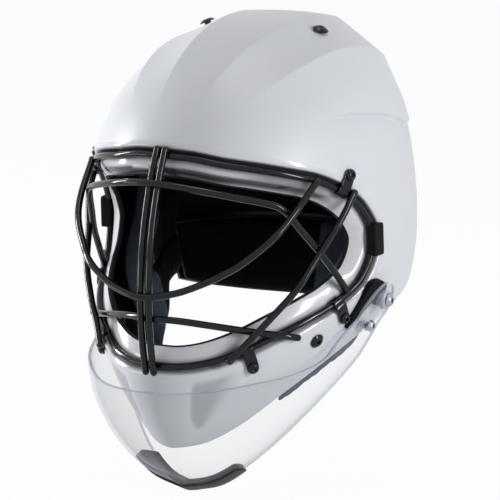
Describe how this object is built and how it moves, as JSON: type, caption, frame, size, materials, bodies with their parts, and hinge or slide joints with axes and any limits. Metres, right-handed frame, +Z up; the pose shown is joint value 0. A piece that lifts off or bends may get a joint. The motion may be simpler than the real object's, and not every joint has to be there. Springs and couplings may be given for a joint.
{
  "type": "field hockey goalkeeper helmet",
  "caption": "Fluted hard-shell goalkeeper helmet with a cat-eye face opening, welded wire cage, foam pads, a swinging clear throat guard and a hinged back plate.",
  "frame": {"origin": "centre of the wearer's head, midway between the ears", "axes": "+Z up to the crown, -Y the way the face looks, +X the wearer's left"},
  "size_m": [0.2472, 0.293, 0.3362],
  "materials": {
    "shell": "satin moulded composite shell",
    "cage": "gloss black coated steel wire",
    "clip": "gloss black strap",
    "screw": "black coated",
    "nut": "zinc plated",
    "bolt": "bright plated screws of the throat guard",
    "rubber": "matte black rubber",
    "foam": "fabric-faced closed-cell foam",
    "side_foam": "slate fabric-faced foam",
    "clear_sheet": "clear polycarbonate sheet",
    "bush": "black moulded plastic",
    "trim": "charcoal soft channel",
    "plate": "black moulded plastic"
  },
  "bodies": {
    "helmet": {"outer_shell": "shell", "cage_rim": "cage", "cage_u_bar": "cage", "cage_brow_bar": "cage", "cage_diagonal_left": "cage", "cage_diagonal_right": "cage", "cage_lower_bar": "cage", "cage_centre_bars": "cage", "cage_clips": "clip", "clip_screws": "screw", "clip_nuts": "nut", "rim_buffers": "rubber", "crown_pad": "foam", "brow_pad": "foam", "rear_pad": "foam", "side_pad_left": "side_foam", "side_pad_right": "side_foam", "jaw_pad_left": "foam", "jaw_pad_right": "foam", "chin_pad": "foam", "crown_screws": "screw", "crown_nuts": "nut", "jaw_screws": "screw", "jaw_nuts": "nut", "hinge_pads": "rubber", "pivot_screws": "bolt", "guide_screws": "bolt", "guard_nuts": "nut", "plate_pins": "nut", "plate_brackets": "plate"},
    "guard": {"throat_guard": "clear_sheet", "pivot_bushes": "bush", "guard_trim": "trim"},
    "nape": {"back_plate": "plate", "back_pad": "foam"}
  },
  "joints": [
    {"name": "guard_swing", "type": "hinge", "parent": "helmet", "child": "guard", "pos_m": [0, -0.021, -0.0435], "axis": [-1, 0, 0], "range_deg": [-8, 3]},
    {"name": "plate_swing", "type": "hinge", "parent": "helmet", "child": "nape", "pos_m": [0, 0.10871, -0.018], "axis": [1, 0, 0], "range_deg": [0, 14], "stiffness_Nm_per_rad": 0.5, "springref_deg": -5.73}
  ]
}
